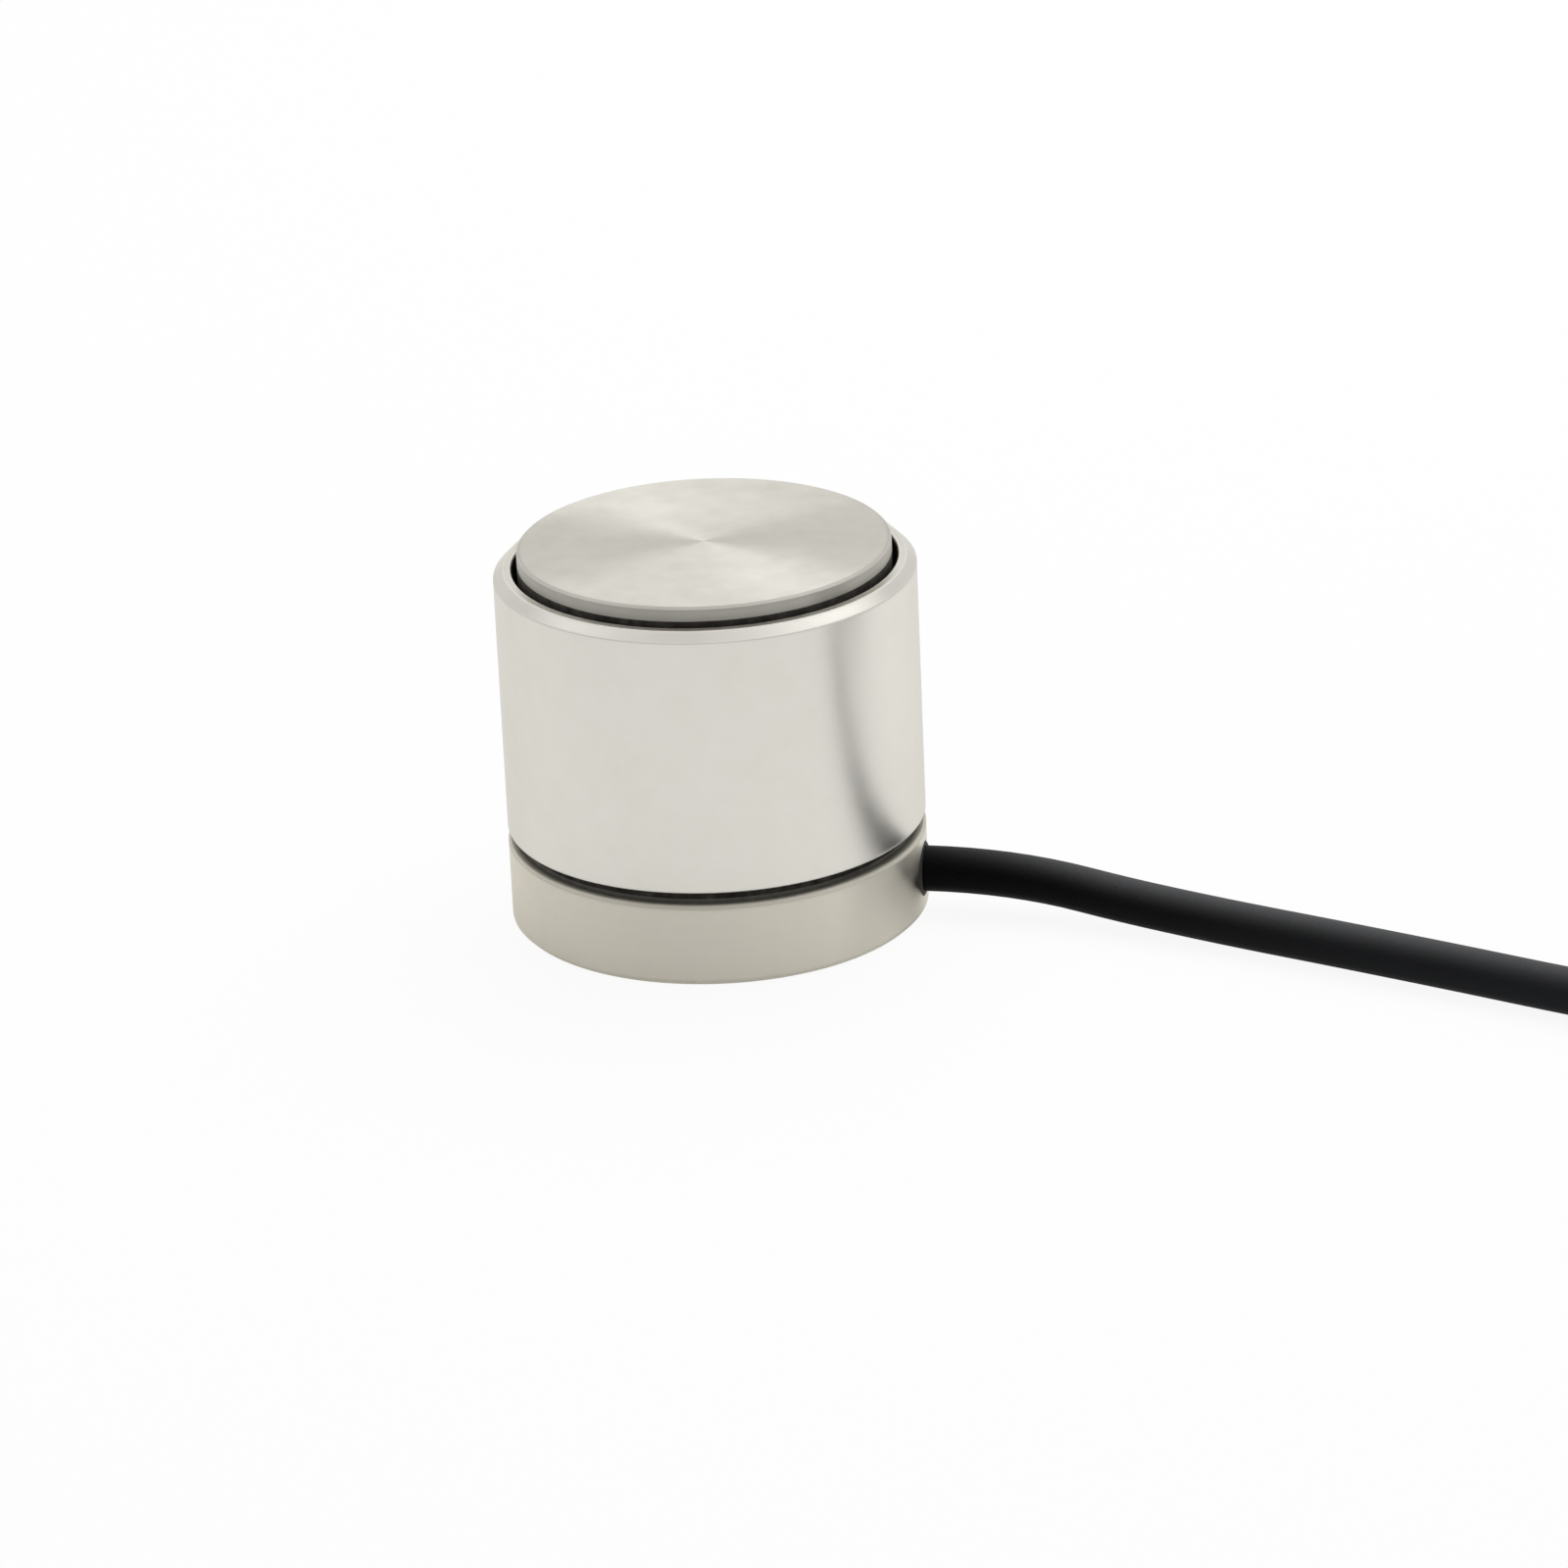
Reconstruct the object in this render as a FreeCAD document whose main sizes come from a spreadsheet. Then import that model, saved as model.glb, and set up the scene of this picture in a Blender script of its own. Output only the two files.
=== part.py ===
import FreeCAD, Part
import math
import os
import Sketcher

# Compression load cell, millimetres. The axis is Z, the base stands on z = 0 and the cable leaves along +X.

doc = FreeCAD.newDocument("compression_load_cell")

# Driving sizes
SIZES = {
    "body_dia": 45.0,
    "total_height": 41.5,
    "base_height": 9.0,
    "base_edge": 0.4,
    "groove_height": 1.5,
    "groove_depth": 1.2,
    "groove_edge": 0.3,
    "sleeve_foot_edge": 0.1,
    "sleeve_wall": 2.0,
    "sleeve_fit": 0.03,
    "spigot_height": 3.4,
    "lip_chamfer": 1.0,
    "lip_round": 0.1,
    "lip_inner_edge": 0.15,
    "head_thick": 10.5,
    "head_gap": 0.6,
    "head_rise": 2.0,
    "head_edge": 0.25,
    "waist_dia": 18.0,
    "waist_fillet": 2.0,
    "flats_across": 15.0,
    "flats_long": 11.0,
    "head_groove_wide": 2.2,
    "head_groove_deep": 1.2,
    "head_groove_down": 5.5,
    "spigot_groove_wide": 1.5,
    "spigot_groove_deep": 1.0,
    "seal_play": 0.01,
    "bolt_circle": 32.0,
    "bolt_drill": 3.3,
    "bolt_deep": 7.0,
    "cable_dia": 5.0,
    "cable_up": 4.6,
    "grommet_wall": 0.5,
    "grommet_long": 3.0,
    "grommet_rise": 0.1,
    "grommet_edge": 0.2,
    "ferrule_gap": 0.2,
    "ferrule_set": 2.9,
    "ferrule_play": 0.1,
    "tail_strip": 0.3,
    "passage_inset": 0.75,
    "passage_dia": 4.4,
    "passage_floor": 2.0,
    "potting_down": 2.0,
    "core_dia": 1.2,
    "core_pitch": 1.5,
    "core_bend": 1.0,
    "core_rise": 1.9,
    "drain_dia": 0.6,
    "insulator_thick": 0.3,
    "board_thick": 1.0,
    "board_margin": 1.0,
    "board_play": 0.2,
    "carrier_wide": 6.0,
    "carrier_long": 7.0,
    "carrier_thick": 0.1,
    "carrier_margin": 0.8,
    "foil_thick": 0.05,
    "foil_margin": 0.7,
    "strand_wide": 0.2,
    "strand_gap": 0.2,
    "tab_wide": 1.2,
    "tab_long": 1.0,
    "terminal_wide": 5.0,
    "terminal_long": 1.8,
    "terminal_margin": 0.5,
    "terminal_edge": 0.3,
    "terminal_split": 0.6,
    "jumper_dia": 0.2,
    "lead_dia": 0.3,
    "lead_bend": 1.2,
    "lead_reach": 1.4,
    "chip_long": 3.2,
    "chip_wide": 1.6,
    "chip_thick": 0.6,
    "chip_cap": 0.5,
    "chip_cap_rise": 0.05,
    "floor_gap": 0.2,
    "coil_x": 168.0,
    "coil_y": -7.5,
    "coil_mean_dia": 50.0,
    "coil_slack": 0.6,
    "coil_round": 2.4,
    "coil_lift": 0.1,
    "tie_wide": 4.0,
    "tie_thick": 1.0,
    "tie_proud": 0.3,
    "end_tip_dia": 0.8,
    "end_tip_long": 6.0,
}
sheet = doc.addObject("Spreadsheet::Sheet", "Sizes")
for row, (alias, number) in enumerate(SIZES.items(), start=1):
    sheet.set(f"A{row}", alias)
    sheet.set(f"B{row}", str(number))
    sheet.setAlias(f"B{row}", alias)
doc.recompute()


def worth(expression):
    """The number that an expression of the sheet's sizes stands for now."""
    return float(sheet.evalExpression(expression))


# Levels and radii that several pieces share
BODY_R = "(Sizes.body_dia / 2)"
BORE_R = f"({BODY_R} - Sizes.sleeve_wall)"
SPIGOT_R = f"({BORE_R} - Sizes.sleeve_fit)"
HEAD_R = f"({BORE_R} - Sizes.head_gap)"
WAIST_R = "(Sizes.waist_dia / 2)"
SEAT = "(Sizes.base_height + Sizes.groove_height)"
SPIGOT_TOP = f"({SEAT} + Sizes.spigot_height)"
SLEEVE_TOP = "(Sizes.total_height - Sizes.head_rise)"
HEAD_FOOT = "(Sizes.total_height - Sizes.head_thick)"
HEAD_GROOVE_R = f"({HEAD_R} - Sizes.head_groove_deep)"
HEAD_GROOVE_UP = "(Sizes.total_height - Sizes.head_groove_down)"
SPIGOT_GROOVE_R = f"({SPIGOT_R} - Sizes.spigot_groove_deep)"
SPIGOT_GROOVE_UP = f"({SEAT} + Sizes.spigot_height / 2)"
FLAT = "(Sizes.flats_across / 2)"
FLATS_LOW = f"(({SPIGOT_TOP} + {HEAD_FOOT} - Sizes.flats_long) / 2)"
FLATS_HIGH = f"({FLATS_LOW} + Sizes.flats_long)"
CABLE_R = "(Sizes.cable_dia / 2)"
ENTRY_R = f"({CABLE_R} + Sizes.grommet_wall)"
GROMMET_FACE = f"({BODY_R} + Sizes.grommet_rise)"
BOARD_LOW = f"({SPIGOT_TOP} + Sizes.insulator_thick)"
BOARD_TOP = f"({BOARD_LOW} + Sizes.board_thick)"
BOARD_IN_R = f"({WAIST_R} + Sizes.waist_fillet + Sizes.board_play)"
BOARD_OUT_R = f"({BORE_R} - Sizes.board_margin)"
PASSAGE_OUT = f"(({BOARD_IN_R} + {BOARD_OUT_R}) / 2 - Sizes.passage_inset)"

nodes = []


def node(piece, label):
    """Names a finished piece and puts it on the list that is written out."""
    piece.Label = label
    nodes.append(piece)
    return piece


# Sketch helpers: every corner and circle is pinned to the sheet
def new_sketch(body, name, role, offset="0"):
    sketch = body.newObject("Sketcher::SketchObject", name)
    plane = next(feature for feature in body.Origin.OriginFeatures if feature.Role == role)
    sketch.AttachmentSupport = [(plane, "")]
    sketch.MapMode = "FlatFace"
    sketch.setExpression("AttachmentOffset.Base.z", offset)
    return sketch


def pin(sketch, line, vertex, across, up):
    """Ties one sketch point to its two distances from the origin, or to an axis where a distance is 0."""
    for kind, distance, axis in (("DistanceX", across, -2), ("DistanceY", up, -1)):
        if distance == "0":
            sketch.addConstraint(Sketcher.Constraint("PointOnObject", line, vertex, axis))
        else:
            tie = Sketcher.Constraint(kind, -1, 1, line, vertex, worth(distance))
            sketch.setExpression(f"Constraints[{sketch.addConstraint(tie)}]", distance)


def outline(sketch, corners):
    """Draws a closed outline through corners given as pairs of expressions."""
    places = [FreeCAD.Vector(worth(across), worth(up), 0) for across, up in corners]
    first = sketch.GeometryCount
    last = len(corners) - 1
    for i, place in enumerate(places):
        sketch.addGeometry(Part.LineSegment(place, places[0 if i == last else i + 1]))
    for i in range(len(corners)):
        follower = first if i == last else first + i + 1
        sketch.addConstraint(Sketcher.Constraint("Coincident", first + i, 2, follower, 1))
    for i, (across, up) in enumerate(corners):
        pin(sketch, first + i, 1, across, up)


def rectangle(sketch, left, right, low, high):
    outline(sketch, [(left, low), (right, low), (right, high), (left, high)])


def circle(sketch, across, up, radius):
    centre = FreeCAD.Vector(worth(across), worth(up), 0)
    ring = sketch.addGeometry(Part.Circle(centre, FreeCAD.Vector(0, 0, 1), worth(radius)))
    pin(sketch, ring, 3, across, up)
    tie = Sketcher.Constraint("Radius", ring, worth(radius))
    sketch.setExpression(f"Constraints[{sketch.addConstraint(tie)}]", radius)


# Feature helpers
def new_body(name, turned=0):
    body = doc.addObject("PartDesign::Body", name)
    body.Placement = FreeCAD.Placement(FreeCAD.Vector(), FreeCAD.Rotation(FreeCAD.Vector(0, 0, 1), turned))
    return body


def revolve(body, sketch, axis):
    feature = body.newObject("PartDesign::Revolution", "turned")
    feature.Profile = sketch
    feature.ReferenceAxis = (sketch, [axis])
    feature.Angle = 360
    return feature


def pad(body, sketch, length, both_ways=False):
    feature = body.newObject("PartDesign::Pad", "pad")
    feature.Profile = sketch
    feature.setExpression("Length", length)
    feature.SideType = "Symmetric" if both_ways else "One side"
    return feature


def pocket(body, sketch, length):
    feature = body.newObject("PartDesign::Pocket", "cut")
    feature.Profile = sketch
    feature.setExpression("Length", length)
    return feature


def round_rings(body, base, radius, rings):
    """Rounds the ring-shaped edges that have the given radius and height pairs."""
    wanted = [(worth(across), worth(up)) for across, up in rings]
    names = []
    for i, edge in enumerate(base.Shape.Edges, start=1):
        if not isinstance(edge.Curve, Part.Circle):
            continue
        for across, up in wanted:
            if abs(edge.Curve.Radius - across) < 1e-4 and abs(edge.Curve.Center.z - up) < 1e-4:
                names.append(f"Edge{i}")
    feature = body.newObject("PartDesign::Fillet", "rounding")
    feature.Base = (base, names)
    feature.setExpression("Radius", radius)
    return feature


def turned_on_cable(name, corners):
    """A piece turned about the cable's own axis at the entry."""
    body = new_body(name)
    body.setExpression("Placement.Base.z", "Sizes.cable_up")
    sketch = new_sketch(body, "section", "XZ_Plane")
    outline(sketch, corners)
    revolve(body, sketch, "H_Axis")
    return body


# Bent wire: straight runs joined by tangent arcs
def bent_path(points, bend=None):
    """The wire through the points, its arcs' radii, and its length."""
    edges = []
    radii = []
    start = points[0]
    for before, corner, after in zip(points, points[1:], points[2:]):
        inward = (before - corner).normalize()
        onward = (after - corner).normalize()
        half_turn = (math.pi - inward.getAngle(onward)) / 2
        shorter = min((before - corner).Length, (after - corner).Length)
        radius = bend or 0.45 * shorter / math.tan(half_turn)
        back = radius * math.tan(half_turn)
        middle = (inward + onward).normalize()
        bulge = corner + middle * (radius / math.cos(half_turn) - radius)
        edges.append(Part.LineSegment(start, corner + inward * back).toShape())
        edges.append(Part.Arc(corner + inward * back, bulge, corner + onward * back).toShape())
        radii.append(radius)
        start = corner + onward * back
    edges.append(Part.LineSegment(start, points[-1]).toShape())
    wire = Part.Wire(edges)
    return wire, radii, wire.Length


def bent_rod(points, dia, bend=None):
    """A round rod along the points."""
    wire = bent_path(points, bend)[0]
    rim = Part.Wire(Part.makeCircle(dia / 2, points[0], points[1] - points[0]))
    return wire.makePipeShell([rim], True, False)


def shaped(name, shape, turned=0):
    piece = doc.addObject("Part::Feature", name)
    piece.Shape = shape
    piece.Placement = FreeCAD.Placement(FreeCAD.Vector(), FreeCAD.Rotation(FreeCAD.Vector(0, 0, 1), turned))
    return piece


def cut_away(name, base, tool):
    piece = doc.addObject("Part::Cut", name)
    piece.Base = base
    piece.Tool = tool
    return piece


# Load column: base ring, seat, spigot, waist and head in one turned piece
column = new_body("load_column")
section = new_sketch(column, "half_section", "XZ_Plane")
outline(section, [
    ("0", "0"),
    (f"{BODY_R} - Sizes.base_edge", "0"),
    (BODY_R, "Sizes.base_edge"),
    (BODY_R, "Sizes.base_height - Sizes.groove_edge"),
    (f"{BODY_R} - Sizes.groove_edge", "Sizes.base_height"),
    (f"{BODY_R} - Sizes.groove_depth", "Sizes.base_height"),
    (f"{BODY_R} - Sizes.groove_depth", SEAT),
    (SPIGOT_R, SEAT),
    (SPIGOT_R, f"{SPIGOT_GROOVE_UP} - Sizes.spigot_groove_wide / 2"),
    (SPIGOT_GROOVE_R, f"{SPIGOT_GROOVE_UP} - Sizes.spigot_groove_wide / 2"),
    (SPIGOT_GROOVE_R, f"{SPIGOT_GROOVE_UP} + Sizes.spigot_groove_wide / 2"),
    (SPIGOT_R, f"{SPIGOT_GROOVE_UP} + Sizes.spigot_groove_wide / 2"),
    (SPIGOT_R, SPIGOT_TOP),
    (WAIST_R, SPIGOT_TOP),
    (WAIST_R, HEAD_FOOT),
    (HEAD_R, HEAD_FOOT),
    (HEAD_R, f"{HEAD_GROOVE_UP} - Sizes.head_groove_wide / 2"),
    (HEAD_GROOVE_R, f"{HEAD_GROOVE_UP} - Sizes.head_groove_wide / 2"),
    (HEAD_GROOVE_R, f"{HEAD_GROOVE_UP} + Sizes.head_groove_wide / 2"),
    (HEAD_R, f"{HEAD_GROOVE_UP} + Sizes.head_groove_wide / 2"),
    (HEAD_R, "Sizes.total_height - Sizes.head_edge"),
    (f"{HEAD_R} - Sizes.head_edge", "Sizes.total_height"),
    ("0", "Sizes.total_height"),
])
blank = revolve(column, section, "V_Axis")
doc.recompute()
round_rings(column, blank, "Sizes.waist_fillet", [(WAIST_R, SPIGOT_TOP), (WAIST_R, HEAD_FOOT)])

# Four flats milled on the waist for the gauges, facing between the X and Y axes
flats = new_sketch(column, "flats", "XY_Plane", FLATS_HIGH)
corner_out = f"({FLAT} * sqrt(2))"
outline(flats, [(corner_out, "0"), ("0", corner_out), (f"-{corner_out}", "0"), ("0", f"-{corner_out}")])
circle(flats, "0", "0", f"{WAIST_R} + {FLAT}")
pocket(column, flats, "Sizes.flats_long")

# Cable entry drilled from the side, meeting the wire passage drilled from the shoulder
entry = new_sketch(column, "cable_entry", "YZ_Plane", PASSAGE_OUT)
circle(entry, "0", "Sizes.cable_up", ENTRY_R)
entry_cut = pocket(column, entry, f"{BODY_R}")
entry_cut.Reversed = True
passage = new_sketch(column, "wire_passage", "XY_Plane", SPIGOT_TOP)
circle(passage, PASSAGE_OUT, "0", "Sizes.passage_dia / 2")
pocket(column, passage, f"{SPIGOT_TOP} - Sizes.passage_floor")

# Three blind holes in the underside, drilled for M4 threads
bolt = new_sketch(column, "bolt_hole", "XY_Plane")
circle(bolt, "-Sizes.bolt_circle / 2", "0", "Sizes.bolt_drill / 2")
doc.recompute()
drilled = column.newObject("PartDesign::Hole", "drilled")
drilled.Profile = bolt
drilled.DepthType = "Dimension"
drilled.DrillPoint = "Angled"
drilled.Reversed = True
drilled.setExpression("Diameter", "Sizes.bolt_drill")
drilled.setExpression("Depth", "Sizes.bolt_deep")
doc.recompute()
ring_of_holes = column.newObject("PartDesign::PolarPattern", "ring_of_holes")
ring_of_holes.Originals = [drilled]
ring_of_holes.Axis = (bolt, ["N_Axis"])
ring_of_holes.Angle = 360
ring_of_holes.Occurrences = 3
column.Tip = ring_of_holes
node(column, "load_column")

# Outer sleeve: tube seated on the shoulder above the groove, with a chamfer at its lip, its edges broken
sleeve = new_body("outer_sleeve")
section = new_sketch(sleeve, "half_section", "XZ_Plane")
outline(section, [
    (BORE_R, SEAT),
    (f"{BODY_R} - Sizes.sleeve_foot_edge", SEAT),
    (BODY_R, f"{SEAT} + Sizes.sleeve_foot_edge"),
    (BODY_R, f"{SLEEVE_TOP} - Sizes.lip_chamfer"),
    (f"{BODY_R} - Sizes.lip_chamfer", SLEEVE_TOP),
    (f"{BORE_R} + Sizes.lip_inner_edge", SLEEVE_TOP),
    (BORE_R, f"{SLEEVE_TOP} - Sizes.lip_inner_edge"),
])
blank = revolve(sleeve, section, "V_Axis")
doc.recompute()
lip_edges = [(BODY_R, f"{SLEEVE_TOP} - Sizes.lip_chamfer"), (f"{BODY_R} - Sizes.lip_chamfer", SLEEVE_TOP)]
round_rings(sleeve, blank, "Sizes.lip_round", lip_edges)
node(sleeve, "outer_sleeve")


# Round seals between the sleeve's bore and a groove in the column
def seal(label, groove_r, up):
    ring = doc.addObject("Part::Torus", label)
    ring.setExpression("Radius1", f"({BORE_R} + {groove_r}) / 2")
    ring.setExpression("Radius2", f"({BORE_R} - {groove_r}) / 2 - Sizes.seal_play")
    ring.setExpression("Placement.Base.z", up)
    node(ring, label)


seal("head_seal_ring", HEAD_GROOVE_R, HEAD_GROOVE_UP)
seal("sleeve_o_ring", SPIGOT_GROOVE_R, SPIGOT_GROOVE_UP)

# Strain gauges: carrier, foil grid and solder terminal on each flat
CARRIER_HIGH = f"({FLATS_HIGH} - Sizes.carrier_margin)"
CARRIER_LOW = f"({CARRIER_HIGH} - Sizes.carrier_long)"
FOIL_FACE = f"({FLAT} + Sizes.carrier_thick)"
WIRE_FACE = f"({FOIL_FACE} + Sizes.foil_thick)"
GRID_HIGH = f"({CARRIER_HIGH} - Sizes.foil_margin)"
TAB_LOW = f"({CARRIER_LOW} + Sizes.foil_margin)"
GRID_LOW = f"({TAB_LOW} + Sizes.tab_long)"
TERMINAL_LOW = f"({FLATS_LOW} + Sizes.terminal_margin)"
TERMINAL_HIGH = f"({TERMINAL_LOW} + Sizes.terminal_long)"
STRANDS = 8


def strand_left(i):
    """Left side of a grid strand, counted from the left of the gauge's middle line."""
    return f"({i - STRANDS // 2} * (Sizes.strand_wide + Sizes.strand_gap) + Sizes.strand_gap / 2)"


def strand_right(i):
    return f"({strand_left(i)} + Sizes.strand_wide)"


def grid_outline():
    """The foil's one continuous track: up and down through the strands, with a solder tab at each end."""
    end = STRANDS - 1
    there = []
    back = []
    for i in range(0, STRANDS, 2):
        there += [(strand_left(i), GRID_HIGH), (strand_right(i + 1), GRID_HIGH)]
        back += [(strand_right(i), f"{GRID_HIGH} - Sizes.strand_wide")]
        back += [(strand_left(i + 1), f"{GRID_HIGH} - Sizes.strand_wide")]
        if i + 1 < end:
            there += [(strand_right(i + 1), f"{GRID_LOW} + Sizes.strand_wide")]
            there += [(strand_left(i + 2), f"{GRID_LOW} + Sizes.strand_wide")]
            back += [(strand_left(i + 1), GRID_LOW), (strand_right(i + 2), GRID_LOW)]
    left_tab = f"{strand_right(0)} - Sizes.tab_wide"
    right_tab = f"{strand_left(end)} + Sizes.tab_wide"
    start_tab = [(left_tab, TAB_LOW), (left_tab, GRID_LOW), (strand_left(0), GRID_LOW)]
    end_tab = [(strand_right(end), GRID_LOW), (right_tab, GRID_LOW), (right_tab, TAB_LOW)]
    inner_tabs = [(strand_left(end), TAB_LOW)]
    return start_tab + there + end_tab + inner_tabs + back[::-1] + [(strand_right(0), TAB_LOW)]


for number in range(1, 5):
    facing = 90 * number - 45
    carrier = new_body("carrier", facing)
    sketch = new_sketch(carrier, "face", "YZ_Plane", FLAT)
    rectangle(sketch, "-Sizes.carrier_wide / 2", "Sizes.carrier_wide / 2", CARRIER_LOW, CARRIER_HIGH)
    pad(carrier, sketch, "Sizes.carrier_thick")
    node(carrier, f"gauge_carrier_{number}")

    foil = new_body("foil", facing)
    sketch = new_sketch(foil, "grid", "YZ_Plane", FOIL_FACE)
    outline(sketch, grid_outline())
    pad(foil, sketch, "Sizes.foil_thick")
    node(foil, f"gauge_foil_{number}")

    terminal = new_body("terminal", facing)
    sketch = new_sketch(terminal, "strip", "YZ_Plane", FLAT)
    rectangle(sketch, "-Sizes.terminal_wide / 2", "Sizes.terminal_wide / 2", TERMINAL_LOW, TERMINAL_HIGH)
    pad(terminal, sketch, "Sizes.carrier_thick")
    sketch = new_sketch(terminal, "solder_faces", "YZ_Plane", FOIL_FACE)
    for side in ("-", ""):
        inner_edge = f"{side}Sizes.terminal_split / 2"
        outer_edge = f"{side}(Sizes.terminal_wide / 2 - Sizes.terminal_edge)"
        low = f"{TERMINAL_LOW} + Sizes.terminal_edge"
        high = f"{TERMINAL_HIGH} - Sizes.terminal_edge"
        rectangle(sketch, inner_edge, outer_edge, low, high)
    pad(terminal, sketch, "Sizes.foil_thick")
    node(terminal, f"gauge_terminal_{number}")

    # Two jumpers from the grid's tabs to the terminal and two leads from the terminal to the board
    wires = []
    tab_middle = worth(f"{strand_left(STRANDS - 1)} + Sizes.tab_wide / 2")
    lead_up = worth(f"({TERMINAL_LOW} + {TERMINAL_HIGH}) / 2")
    lead_out = worth(f"{BOARD_IN_R} + Sizes.lead_reach")
    jumper_out = worth(f"{WIRE_FACE} + Sizes.jumper_dia / 2")
    jumper_foot = worth(f"{TERMINAL_HIGH} - 2 * Sizes.terminal_edge")
    jumper_long = worth(f"({TAB_LOW} + {GRID_LOW}) / 2") - jumper_foot
    for side in (-1, 1):
        foot = FreeCAD.Vector(jumper_out, side * tab_middle, jumper_foot)
        wires.append(Part.makeCylinder(worth("Sizes.jumper_dia / 2"), jumper_long, foot))
        lead_points = [
            FreeCAD.Vector(worth(WIRE_FACE), side * tab_middle, lead_up),
            FreeCAD.Vector(lead_out, side * tab_middle, lead_up),
            FreeCAD.Vector(lead_out, side * tab_middle, worth(BOARD_TOP)),
        ]
        wires.append(bent_rod(lead_points, worth("Sizes.lead_dia"), worth("Sizes.lead_bend")))
    node(shaped("leads", Part.Compound(wires), facing), f"gauge_leads_{number}")


# Ring board on the shoulder round the waist, on its insulating ring
def ring_plate(label, low, thickness):
    plate = new_body(label)
    sketch = new_sketch(plate, "ring", "XY_Plane", low)
    circle(sketch, "0", "0", BOARD_OUT_R)
    circle(sketch, "0", "0", BOARD_IN_R)
    circle(sketch, PASSAGE_OUT, "0", "Sizes.passage_dia / 2")
    pad(plate, sketch, thickness)
    node(plate, label)


ring_plate("board_insulator", SPIGOT_TOP, "Sizes.insulator_thick")
ring_plate("terminal_board", BOARD_LOW, "Sizes.board_thick")


# Chip resistors soldered to the board, each pointing at the axis
def chip(label, facing):
    body = new_body(label, facing)
    sketch = new_sketch(body, "side", "XZ_Plane")
    near = f"(({BOARD_IN_R} + {BOARD_OUT_R} - Sizes.chip_long) / 2)"
    far = f"({near} + Sizes.chip_long)"
    waist_up = f"{BOARD_TOP} + Sizes.chip_thick"
    cap_up = f"{waist_up} + Sizes.chip_cap_rise"
    outline(sketch, [
        (near, BOARD_TOP),
        (far, BOARD_TOP),
        (far, cap_up),
        (f"{far} - Sizes.chip_cap", cap_up),
        (f"{far} - Sizes.chip_cap", waist_up),
        (f"{near} + Sizes.chip_cap", waist_up),
        (f"{near} + Sizes.chip_cap", cap_up),
        (near, cap_up),
    ])
    pad(body, sketch, "Sizes.chip_wide", both_ways=True)
    node(body, label)


chip("span_resistor_plus", 165)
chip("span_resistor_minus", 195)
chip("zero_resistor", 90)
chip("balance_resistor", 270)

# Cable entry: rubber grommet, a bush that stands a little proud of the base ring
GROMMET_IN = f"({BODY_R} - Sizes.grommet_long)"
grommet = turned_on_cable("grommet", [
    (GROMMET_IN, CABLE_R),
    (GROMMET_FACE, CABLE_R),
    (GROMMET_FACE, f"{ENTRY_R} - Sizes.grommet_edge"),
    (f"{GROMMET_FACE} - Sizes.grommet_edge", ENTRY_R),
    (GROMMET_IN, ENTRY_R),
])
node(grommet, "cable_grommet")

# Crimped ferrule on the jacket, in the room between the grommet and the wire passage
FERRULE_OUT = f"({GROMMET_IN} - Sizes.ferrule_gap)"
FERRULE_IN = f"({PASSAGE_OUT} + Sizes.ferrule_set)"
FERRULE_R = f"({ENTRY_R} - Sizes.ferrule_play)"
ferrule = turned_on_cable("ferrule", [
    (FERRULE_IN, CABLE_R),
    (FERRULE_OUT, CABLE_R),
    (FERRULE_OUT, FERRULE_R),
    (FERRULE_IN, FERRULE_R),
])
node(ferrule, "cable_ferrule")

# Jacket inside the entry, up to where it is stripped
TAIL_IN = f"({FERRULE_IN} - Sizes.tail_strip)"
tail = turned_on_cable("tail", [(TAIL_IN, "0"), (GROMMET_FACE, "0"), (GROMMET_FACE, CABLE_R), (TAIL_IN, CABLE_R)])
node(tail, "cable_tail")

# Cores inside: out of the jacket, up the passage, over to the board
core_dia = worth("Sizes.core_dia")
core_half = worth("Sizes.core_pitch / 2")
core_bend = worth("Sizes.core_bend")
tail_in = worth(TAIL_IN)
cable_up = worth("Sizes.cable_up")
passage_out = worth(PASSAGE_OUT)
board_top = worth(BOARD_TOP)
core_over = board_top + worth("Sizes.core_rise")


def inner_core(label, dia, aside, above, landing):
    """A core that leaves the jacket aside of and above the cable's axis and ends on the board."""
    turn_up = passage_out + above
    points = [
        FreeCAD.Vector(tail_in, aside, cable_up + above),
        FreeCAD.Vector(turn_up, aside, cable_up + above),
        FreeCAD.Vector(turn_up, aside, core_over),
        FreeCAD.Vector(landing[0], landing[1], core_over),
        FreeCAD.Vector(landing[0], landing[1], board_top),
    ]
    return node(shaped(label, bent_rod(points, dia, core_bend)), label)


beside = worth("Sizes.passage_dia / 2") + 2 * core_dia
inner_cores = [
    inner_core("core_red", core_dia, core_half, core_half, (passage_out + 2 * core_dia, beside)),
    inner_core("core_white", core_dia, core_half, -core_half, (passage_out - core_dia, beside)),
    inner_core("core_black", core_dia, -core_half, core_half, (passage_out + 2 * core_dia, -beside)),
    inner_core("core_green", core_dia, -core_half, -core_half, (passage_out - core_dia, -beside)),
    inner_core("core_drain", worth("Sizes.drain_dia"), 0, 0, (passage_out + beside - core_dia, 0)),
]

# Potting in the wire passage, moulded round the cores
passage_fill = doc.addObject("Part::Cylinder", "passage_fill")
passage_fill.setExpression("Radius", "Sizes.passage_dia / 2")
passage_fill.setExpression("Height", f"{SPIGOT_TOP} - Sizes.passage_floor - Sizes.potting_down")
passage_fill.setExpression("Placement.Base.x", PASSAGE_OUT)
passage_fill.setExpression("Placement.Base.z", "Sizes.passage_floor")
core_bundle = doc.addObject("Part::MultiFuse", "core_bundle")
core_bundle.Shapes = inner_cores
node(cut_away("potting", passage_fill, core_bundle), "potting_plug")

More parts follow.
